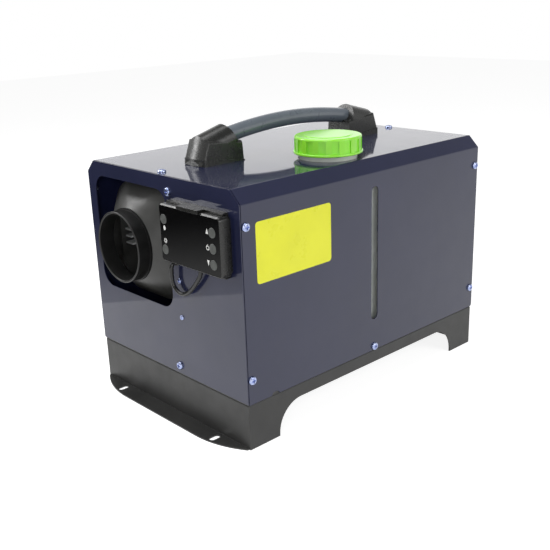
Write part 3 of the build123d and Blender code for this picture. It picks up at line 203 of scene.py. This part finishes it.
# Studio: a white floor that keeps a soft shadow, a surround that is white at the horizon and darker
# overhead, and soft lamps on all sides, so that the dark paint shows its gloss.
floor_level = -0.0002
floor_reach = 4.0
floor_mesh = bpy.data.meshes.new("studio_floor")
floor_mesh.from_pydata(
    [(x * floor_reach, y * floor_reach, floor_level) for x, y in ((-1, -1), (1, -1), (1, 1), (-1, 1))],
    [], [(0, 1, 2, 3)],
)
floor = bpy.data.objects.new("studio_floor", floor_mesh)
scene.collection.objects.link(floor)
floor_paper = bpy.data.materials.new("floor_paper")
floor_paper.use_nodes = True
paper_nodes = floor_paper.node_tree.nodes
paper_links = floor_paper.node_tree.links
paper_nodes.clear()
paper_out = paper_nodes.new("ShaderNodeOutputMaterial")
paper_sum = paper_nodes.new("ShaderNodeAddShader")
paper_matt = paper_nodes.new("ShaderNodeBsdfDiffuse")
paper_matt.inputs["Color"].default_value = (0.45, 0.45, 0.45, 1.0)
paper_glow = paper_nodes.new("ShaderNodeEmission")
paper_path = paper_nodes.new("ShaderNodeLightPath")
paper_seen = paper_nodes.new("ShaderNodeMath")
paper_seen.operation = "MAXIMUM"
paper_lit = paper_nodes.new("ShaderNodeMath")
paper_lit.operation = "MAXIMUM"
paper_strength = paper_nodes.new("ShaderNodeMapRange")
paper_strength.inputs["To Min"].default_value = 0.25
paper_strength.inputs["To Max"].default_value = 0.86
paper_links.new(paper_path.outputs["Is Camera Ray"], paper_seen.inputs[0])
paper_links.new(paper_path.outputs["Is Glossy Ray"], paper_seen.inputs[1])
paper_links.new(paper_seen.outputs["Value"], paper_lit.inputs[0])
paper_links.new(paper_path.outputs["Is Transmission Ray"], paper_lit.inputs[1])
paper_links.new(paper_lit.outputs["Value"], paper_strength.inputs["Value"])
paper_links.new(paper_strength.outputs["Result"], paper_glow.inputs["Strength"])
paper_links.new(paper_matt.outputs["BSDF"], paper_sum.inputs[0])
paper_links.new(paper_glow.outputs["Emission"], paper_sum.inputs[1])
paper_links.new(paper_sum.outputs["Shader"], paper_out.inputs["Surface"])
floor_mesh.materials.append(floor_paper)

surround = bpy.data.worlds.new("studio_surround")
surround.use_nodes = True
scene.world = surround
sky_nodes = surround.node_tree.nodes
sky_links = surround.node_tree.links
sky = sky_nodes["Background"]
sky.inputs["Color"].default_value = (1.0, 1.0, 1.0, 1.0)
sky_path = sky_nodes.new("ShaderNodeLightPath")
sky_seen = sky_nodes.new("ShaderNodeMath")
sky_seen.operation = "MAXIMUM"
sky_lit = sky_nodes.new("ShaderNodeMath")
sky_lit.operation = "MAXIMUM"
sky_strength = sky_nodes.new("ShaderNodeMapRange")
sky_strength.inputs["To Min"].default_value = 0.55
sky_strength.inputs["To Max"].default_value = 1.0
sky_links.new(sky_path.outputs["Is Camera Ray"], sky_seen.inputs[0])
sky_links.new(sky_path.outputs["Is Glossy Ray"], sky_seen.inputs[1])
sky_links.new(sky_seen.outputs["Value"], sky_lit.inputs[0])
sky_links.new(sky_path.outputs["Is Transmission Ray"], sky_lit.inputs[1])
sky_links.new(sky_lit.outputs["Value"], sky_strength.inputs["Value"])
sky_place = sky_nodes.new("ShaderNodeTexCoord")
sky_height = sky_nodes.new("ShaderNodeSeparateXYZ")
sky_fade = sky_nodes.new("ShaderNodeMapRange")
sky_fade.interpolation_type = "SMOOTHSTEP"
sky_fade.inputs["From Min"].default_value = 0.15
sky_fade.inputs["From Max"].default_value = 0.58
sky_fade.inputs["To Min"].default_value = 1.0
sky_fade.inputs["To Max"].default_value = 0.30
sky_total = sky_nodes.new("ShaderNodeMath")
sky_total.operation = "MULTIPLY"
sky_links.new(sky_place.outputs["Generated"], sky_height.inputs["Vector"])
sky_links.new(sky_height.outputs["Z"], sky_fade.inputs["Value"])
sky_links.new(sky_strength.outputs["Result"], sky_total.inputs[0])
sky_links.new(sky_fade.outputs["Result"], sky_total.inputs[1])
sky_links.new(sky_total.outputs["Value"], sky.inputs["Strength"])


def softbox(name, place, aim, width, height, watts):
    """Soft lamp that faces a point."""
    lamp = bpy.data.lights.new(name, "AREA")
    lamp.shape = "RECTANGLE"
    lamp.size = width
    lamp.size_y = height
    lamp.energy = watts
    holder = bpy.data.objects.new(name, lamp)
    holder.location = place
    facing = Vector(aim) - Vector(place)
    holder.rotation_euler = facing.to_track_quat("-Z", "Y").to_euler()
    holder.visible_camera = False
    scene.collection.objects.link(holder)


softbox("lamp_above", (-0.2, -0.3, 1.4), (0.0, 0.0, 0.15), 1.2, 1.2, 14.0)
softbox("lamp_behind", (-1.15, 1.1, 0.85), (0.0, 0.0, 0.25), 1.6, 1.1, 1.5)
softbox("lamp_right", (1.4, 0.3, 0.8), (0.0, 0.0, 0.15), 0.8, 0.8, 7.5)
softbox("lamp_left", (-0.95, -0.85, 0.60), (0.0, -0.13, 0.27), 0.3, 0.5, 4.5)
softbox("lamp_left_high", (-0.80, -0.47, 0.85), (0.07, -0.19, 0.20), 0.25, 0.25, 2.0)
softbox("lamp_front", (0.75, -0.90, 0.50), (-0.05, -0.15, 0.18), 0.3, 0.3, 2.0)

# Card left of the front, out of the camera's sight, that the gloss front mirrors: black above and
# paler toward the floor, so the front turns from dark to grey.
card_top = 0.30
card_pale_up_to = 0.13
card_right = (-0.07, -0.67)
card_left = (-0.49, -0.11)
card_mesh = bpy.data.meshes.new("black_card")
card_mesh.from_pydata(
    [(*card_right, 0.0), (*card_left, 0.0), (*card_left, card_top), (*card_right, card_top)], [], [(0, 1, 2, 3)],
)
card = bpy.data.objects.new("black_card", card_mesh)
scene.collection.objects.link(card)
card.visible_camera = False
card.visible_shadow = False
card_black = bpy.data.materials.new("card_black")
card_black.use_nodes = True
card_shader = card_black.node_tree.nodes["Principled BSDF"]
card_shader.inputs["Base Color"].default_value = (0.01, 0.01, 0.01, 1.0)
card_shader.inputs["Emission Color"].default_value = (1.0, 1.0, 1.0, 1.0)
card_nodes = card_black.node_tree.nodes
card_links = card_black.node_tree.links
card_place = card_nodes.new("ShaderNodeTexCoord")
card_height = card_nodes.new("ShaderNodeSeparateXYZ")
card_fade = card_nodes.new("ShaderNodeMapRange")
card_fade.interpolation_type = "SMOOTHSTEP"
card_fade.inputs["From Max"].default_value = card_pale_up_to
card_fade.inputs["To Min"].default_value = 0.80
card_fade.inputs["To Max"].default_value = 0.0
card_links.new(card_place.outputs["Object"], card_height.inputs["Vector"])
card_links.new(card_height.outputs["Z"], card_fade.inputs["Value"])
card_links.new(card_fade.outputs["Result"], card_shader.inputs["Emission Strength"])
card_mesh.materials.append(card_black)


# Base: one 1.5 mm steel sheet cut and folded into a skirt with an arch in each long side and a
# slotted foot at each end, then powder-coated black.
def softened(node, edge, segments=2, angle=28.0):
    """A copy of a made piece with its sharp edges eased, in place of the plain one."""
    source = frame["nodes"][node]
    mesh = source.data.copy()
    mesh.name = node + "_shape"
    mesh.materials.clear()
    shape = bmesh.new()
    shape.from_mesh(mesh)
    bmesh.ops.remove_doubles(shape, verts=shape.verts, dist=2e-6)
    bmesh.ops.dissolve_limit(
        shape, angle_limit=math.radians(0.6), verts=shape.verts, edges=shape.edges, delimit={"NORMAL"},
    )
    for face in shape.faces:
        face.smooth = True
    shape.to_mesh(mesh)
    shape.free()
    piece = bpy.data.objects.new(node + "_piece", mesh)
    scene.collection.objects.link(piece)
    eased = piece.modifiers.new("eased_edges", "BEVEL")
    eased.width = edge
    eased.segments = segments
    eased.limit_method = "ANGLE"
    eased.angle_limit = math.radians(angle)
    eased.use_clamp_overlap = True
    eased.miter_outer = "MITER_ARC"
    flats = piece.modifiers.new("flat_faces", "WEIGHTED_NORMAL")
    flats.mode = "FACE_AREA"
    flats.weight = 80
    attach(piece, source["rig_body"])
    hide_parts(node)
    return piece


def dress(piece, finish):
    """Give a piece its finish."""
    piece.data.materials.clear()
    piece.data.materials.append(finish)
    return piece


def dress_nodes(finish, *names):
    """Give CAD pieces whose shape is already right their finish."""
    for name in names:
        node = frame["nodes"][name]
        if len(node.material_slots) == 0:
            node.data.materials.append(finish)
        for entry in node.material_slots:
            entry.material = finish


black_powder = start_finish("black_powder_coat", (0.022, 0.022, 0.021), 0.42)
mottle(black_powder, (0.019, 0.019, 0.0185), (0.026, 0.026, 0.025), 22.0)
vary_gloss(black_powder, 0.36, 0.48, 60.0)
grain(black_powder, 900.0, 0.00025, 0.22)
grain(black_powder, 3200.0, 0.0001, 0.18)
dress(softened("base_frame", 0.0005), black_powder)


# Inner floor: a steel tray in the base's black powder coat that lies on the base. Only its folded
# edge shows.
dress(softened("floor_tray", 0.0003), black_powder)


# Inner wall, heater bridge and pipes: plain zinc-coated steel, seen only through the openings.
bare_steel = start_finish("zinc_coated_steel", (0.52, 0.53, 0.55), 0.34, 1.0)
mottle(bare_steel, (0.40, 0.41, 0.43), (0.60, 0.61, 0.63), 45.0)
vary_gloss(bare_steel, 0.25, 0.45, 120.0, (1.0, 0.2, 1.0))
grain(bare_steel, 1400.0, 0.00008, 0.2)
dress_nodes(bare_steel, "inner_wall", "heater_bracket", "exhaust_pipe", "intake_pipe", "fuel_inlet_pipe")
dress_nodes(bare_steel, "pump_body", "pump_plunger", "pump_spring", "pump_bracket", "glow_plug", "burner_tube")
dress_nodes(bare_steel, "motor_can", "motor_bearings", "motor_rotor", "foot_studs")


# Heat exchanger, blower housing and its wheel: die-cast aluminium, sand-blasted and left bare.
# The ends of the fins show inside the hot-air outlet.
cast_metal = start_finish("cast_aluminium", (0.74, 0.75, 0.75), 0.45, 0.55)
mottle(cast_metal, (0.66, 0.67, 0.67), (0.80, 0.81, 0.81), 70.0)
vary_gloss(cast_metal, 0.38, 0.6, 200.0)
grain(cast_metal, 1100.0, 0.0004, 0.4)
dress_nodes(cast_metal, "heat_exchanger", "blower_housing", "combustion_impeller")


# Heater casing: glass-filled black nylon shells with the outlet hood and its 75 mm collar in front
# and the inlet grille behind, snapped together.
casing_nylon = start_finish("casing_nylon", (0.045, 0.045, 0.042), 0.36)
mottle(casing_nylon, (0.040, 0.040, 0.038), (0.052, 0.052, 0.049), 30.0)
vary_gloss(casing_nylon, 0.30, 0.44, 90.0)
grain(casing_nylon, 1600.0, 0.00015, 0.2)
hood = dress(softened("outlet_hood", 0.0004, angle=40.0), casing_nylon)
# The collar takes a much darker copy of the same nylon. This is painted shade: it stands in for the dark
# surroundings that the collar's gloss mirrors, though the collar is one moulding with the hood.
collar_painted_shade = start_finish("collar_painted_shade", (0.008, 0.008, 0.008), 0.40)
mottle(collar_painted_shade, (0.007, 0.007, 0.007), (0.010, 0.010, 0.0095), 40.0)
vary_gloss(collar_painted_shade, 0.34, 0.46, 90.0)
grain(collar_painted_shade, 1600.0, 0.00015, 0.2)
hood.data.materials.append(collar_painted_shade)
# Faces in front of this depth, the collar, take the painted shade.
collar_painted_shade_from = -0.183
for face in hood.data.polygons:
    if face.center.y < collar_painted_shade_from:
        face.material_index = 1
dress(softened("inlet_grille", 0.0004, angle=40.0), casing_nylon)
dress_nodes(casing_nylon, "heater_lower_shell", "heater_upper_shell", "air_fan", "control_unit")


# Rubber: the gasket, pads, hoses, pump mount, cap seal and the grommet round the cable.
soft_rubber = start_finish("black_rubber", (0.018, 0.018, 0.018), 0.62)
mottle(soft_rubber, (0.014, 0.014, 0.014), (0.024, 0.024, 0.024), 80.0)
grain(soft_rubber, 1800.0, 0.0002, 0.3)
dress_nodes(soft_rubber, "foot_gasket", "tank_pads", "suction_hoses", "pressure_hose", "pump_rubber", "cap_seal")
dress(softened("cable_grommet", 0.0003), soft_rubber)


# Fuel filter: a clear amber plastic bowl with a hose on each end, between the tank and the pump.
# The case hides it.
filter_bowl = start_finish("filter_bowl", (0.70, 0.62, 0.42), 0.15)
mottle(filter_bowl, (0.62, 0.54, 0.34), (0.74, 0.67, 0.48), 60.0)
grain(filter_bowl, 600.0, 0.0001, 0.15)
dress_nodes(filter_bowl, "fuel_filter")


# Fuel tank: blow-moulded natural polyethylene; its neck stands out of the cover and its side
# shows behind the level slot.
tank_plastic = start_finish("tank_polyethylene", (0.60, 0.63, 0.60), 0.42)
mottle(tank_plastic, (0.52, 0.55, 0.52), (0.66, 0.69, 0.66), 25.0)
grain(tank_plastic, 260.0, 0.0006, 0.25)
grain(tank_plastic, 1500.0, 0.0001, 0.2)
set_shader(tank_plastic, Subsurface_Weight=0.35, Subsurface_Radius=(0.006, 0.006, 0.005))
dress_nodes(tank_plastic, "fuel_tank")


# Case: 1 mm steel panels and a cover folded in one piece over the top, in gloss navy paint.
navy_paint = start_finish("navy_gloss_paint", (0.011, 0.014, 0.046), 0.50)
mottle(navy_paint, (0.010, 0.013, 0.043), (0.0125, 0.0155, 0.050), 12.0)
vary_gloss(navy_paint, 0.45, 0.55, 40.0)
grain(navy_paint, 420.0, 0.00008, 0.06, 1.0)
grain(navy_paint, 1600.0, 0.00003, 0.06)
set_shader(navy_paint, Specular_IOR_Level=0.1, Coat_Weight=1.0, Coat_Roughness=0.05, Coat_IOR=1.5)
dress(softened("front_panel", 0.0002), navy_paint)
dress(softened("rear_panel", 0.0002), navy_paint)
dress(softened("top_cover", 0.0003), navy_paint)


# Sticker: a blank yellow vinyl film with round corners, stuck on the side near the front.
side_x = 0.125


def flat_film(name, corners, radius, thickness, finish, body):
    """Thin film on the case's right side: its outline's corners are rounded and its rim is soft."""
    shape = bmesh.new()
    ring = []
    (y0, z0), (y1, z1) = corners
    for cy, cz, start in ((y1, z1, 0), (y0, z1, 90), (y0, z0, 180), (y1, z0, 270)):
        centre_y = cy - math.copysign(radius, cy - (y0 + y1) / 2)
        centre_z = cz - math.copysign(radius, cz - (z0 + z1) / 2)
        for step in range(9):
            turn = math.radians(start + step * 90 / 8)
            ring.append((centre_y + radius * math.cos(turn), centre_z + radius * math.sin(turn)))
    low = [shape.verts.new((side_x, y, z)) for y, z in ring]
    top = [shape.verts.new((side_x + thickness, y, z)) for y, z in ring]
    shape.faces.new(top)
    shape.faces.new(list(reversed(low)))
    for index in range(len(ring)):
        following = (index + 1) % len(ring)
        shape.faces.new((low[index], low[following], top[following], top[index]))
    mesh = bpy.data.meshes.new(name)
    shape.to_mesh(mesh)
    shape.free()
    film = bpy.data.objects.new(name, mesh)
    scene.collection.objects.link(film)
    rim = film.modifiers.new("soft_rim", "BEVEL")
    rim.width = thickness * 0.4
    rim.segments = 2
    mesh.materials.append(finish)
    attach(film, body)
    return film


yellow_vinyl = start_finish("yellow_vinyl", (0.84, 0.85, 0.028), 0.30)
mottle(yellow_vinyl, (0.81, 0.82, 0.025), (0.87, 0.88, 0.032), 30.0)
vary_gloss(yellow_vinyl, 0.25, 0.36, 60.0)
grain(yellow_vinyl, 700.0, 0.00004, 0.12)
sticker_corners = ((-0.164, 0.165), (-0.066, 0.224))
sticker_radius = 0.0035
sticker_thickness = 0.00018
sticker = flat_film("side_sticker", sticker_corners, sticker_radius, sticker_thickness, yellow_vinyl, "case")


# Screws: zinc-plated pan heads with a cross recess; sixteen hold the case and two small ones sit
# beside the front opening.
blue_zinc = start_finish("blue_zinc_plate", (0.36, 0.42, 0.66), 0.22, 1.0)
mottle(blue_zinc, (0.28, 0.34, 0.58), (0.46, 0.51, 0.72), 260.0)
vary_gloss(blue_zinc, 0.16, 0.34, 500.0)
grain(blue_zinc, 2200.0, 0.0001, 0.25)
dress(softened("case_screws", 0.00018), blue_zinc)
dress(softened("small_screws", 0.00012), blue_zinc)
dress_nodes(blue_zinc, "handle_screws")


# Handle: a bent steel tube in grey paint, pushed into a black nylon socket at each end.
handle_grey = start_finish("handle_grey_paint", (0.11, 0.13, 0.155), 0.30)
mottle(handle_grey, (0.10, 0.12, 0.145), (0.12, 0.14, 0.165), 40.0)
vary_gloss(handle_grey, 0.26, 0.34, 120.0)
grain(handle_grey, 1500.0, 0.00005, 0.12)
set_shader(handle_grey, Coat_Weight=0.6, Coat_Roughness=0.08, Coat_IOR=1.5)
dress_nodes(handle_grey, "handle_tube")
socket_nylon = start_finish("socket_nylon", (0.013, 0.0135, 0.0125), 0.26)
mottle(socket_nylon, (0.011, 0.0115, 0.0105), (0.016, 0.0165, 0.0155), 60.0)
vary_gloss(socket_nylon, 0.22, 0.32, 150.0)
grain(socket_nylon, 2400.0, 0.00006, 0.18)
dress(softened("handle_socket_front", 0.0008, 3, 24.0), socket_nylon)
dress(softened("handle_socket_rear", 0.0008, 3, 24.0), socket_nylon)


# Fuel cap: injection-moulded green polypropylene with shallow flutes for the hand. It turns on the
# tank's neck and rises with its thread.
cap_plastic = start_finish("cap_polypropylene", (0.29, 0.80, 0.03), 0.24)
mottle(cap_plastic, (0.27, 0.77, 0.025), (0.31, 0.83, 0.04), 35.0)
set_shader(cap_plastic, Coat_Weight=0.5, Coat_Roughness=0.12, Coat_IOR=1.5)
grain(cap_plastic, 1500.0, 0.00012, 0.25)
set_shader(cap_plastic, Subsurface_Weight=0.15, Subsurface_Radius=(0.003, 0.004, 0.001))
dress(softened("fuel_cap", 0.0005), cap_plastic)


# Tank outlet and cable gland: black moulded nylon fittings, one at the tank and one in the rear
# panel.
dress(softened("power_gland", 0.0004), socket_nylon)
dress_nodes(socket_nylon, "tank_outlet")


# Controller: a black ABS box with a glossy sheet over its whole face, five rubber-touch buttons,
# a display behind the sheet, and a holder screwed to the panel.
box_plastic = start_finish("controller_abs", (0.013, 0.013, 0.012), 0.28)
mottle(box_plastic, (0.011, 0.011, 0.010), (0.016, 0.016, 0.015), 90.0)
vary_gloss(box_plastic, 0.24, 0.33, 200.0)
grain(box_plastic, 2600.0, 0.00004, 0.12)
dress(softened("controller_front", 0.0002), box_plastic)
dress(softened("controller_back", 0.0003), box_plastic)
dress(softened("controller_holder", 0.0003), box_plastic)
face_sheet = start_finish("face_sheet", (0.0018, 0.0018, 0.0016), 0.08)
mottle(face_sheet, (0.0014, 0.0014, 0.0016), (0.0020, 0.0020, 0.0022), 50.0)
set_shader(face_sheet, Specular_IOR_Level=0.3)
grain(face_sheet, 300.0, 0.00003, 0.1)
dress(softened("controller_lens", 0.00012), face_sheet)
dress_nodes(face_sheet, "lcd_module")
circuit_green = start_finish("circuit_board", (0.02, 0.12, 0.05), 0.4)
mottle(circuit_green, (0.015, 0.10, 0.04), (0.03, 0.15, 0.07), 700.0)
grain(circuit_green, 2500.0, 0.0001, 0.3)
dress_nodes(circuit_green, "controller_board")
button_rubber = start_finish("button_grey", (0.085, 0.09, 0.085), 0.4)
mottle(button_rubber, (0.07, 0.075, 0.07), (0.10, 0.105, 0.10), 250.0)
grain(button_rubber, 2400.0, 0.0001, 0.3)
for name in ("button_dot", "button_ok", "button_up", "button_power", "button_down"):
    dress(softened(name, 0.0002), button_rubber)


# Printed signs on the face sheet beside the buttons: a dot, a gear, two arrows and a ring with a
# bar, in thin white ink.
def ink_sign(name, outlines, finish):
    """Flat ink shapes on the face sheet; each outline is a closed loop of points round the sign's middle."""
    face_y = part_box("controller_lens")[0][1] - 0.00002
    shape = bmesh.new()
    for loop in outlines:
        front = [shape.verts.new((x, face_y, z)) for x, z in loop]
        back = [shape.verts.new((x, face_y + 0.00004, z)) for x, z in loop]
        shape.faces.new(front)
        shape.faces.new(list(reversed(back)))
        for index in range(len(loop)):
            following = (index + 1) % len(loop)
            shape.faces.new((front[following], front[index], back[index], back[following]))
    bmesh.ops.recalc_face_normals(shape, faces=shape.faces)
    mesh = bpy.data.meshes.new(name)
    shape.to_mesh(mesh)
    shape.free()
    mesh.materials.append(finish)
    sign = bpy.data.objects.new(name, mesh)
    scene.collection.objects.link(sign)
    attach(sign, "case")
    return sign


def ring_piece(x, z, outer, inner, start, stop, steps=12):
    """Part of a flat ring between two angles."""
    turns = [math.radians(start + (stop - start) * index / steps) for index in range(steps + 1)]
    far = [(x + outer * math.cos(turn), z + outer * math.sin(turn)) for turn in turns]
    near = [(x + inner * math.cos(turn), z + inner * math.sin(turn)) for turn in reversed(turns)]
    return far + near


white_ink = start_finish("white_ink", (0.80, 0.80, 0.78), 0.5)
mottle(white_ink, (0.76, 0.76, 0.74), (0.84, 0.84, 0.82), 900.0)
grain(white_ink, 3000.0, 0.00002, 0.1)
dot_x, dot_z = 0.0293, 0.2085
dot = [
    (dot_x + 0.0018 * math.cos(math.radians(turn)), dot_z + 0.0024 * math.sin(math.radians(turn)))
    for turn in range(0, 360, 15)
]
ink_sign("sign_dot", [dot], white_ink)
gear_x, gear_z = 0.0296, 0.1960
gear = [ring_piece(gear_x, gear_z, 0.0019, 0.0010, 0, 180), ring_piece(gear_x, gear_z, 0.0019, 0.0010, 180, 360)]
for turn in range(0, 360, 45):
    gear.append(ring_piece(gear_x, gear_z, 0.0026, 0.0017, turn - 11, turn + 11, 3))
ink_sign("sign_gear", gear, white_ink)
ink_sign("sign_up", [[(0.0924, 0.2144), (0.0962, 0.2144), (0.0943, 0.2196)]], white_ink)
ink_sign("sign_down", [[(0.0921, 0.1896), (0.0940, 0.1842), (0.0959, 0.1896)]], white_ink)
power_x, power_z = 0.0942, 0.2014
power = [
    ring_piece(power_x, power_z, 0.0024, 0.0015, 120, 270),
    ring_piece(power_x, power_z, 0.0024, 0.0015, 270, 420),
    [(power_x - 0.0005, power_z + 0.0008), (power_x + 0.0005, power_z + 0.0008),
     (power_x + 0.0005, power_z + 0.0032), (power_x - 0.0005, power_z + 0.0032)],
]
ink_sign("sign_power", power, white_ink)
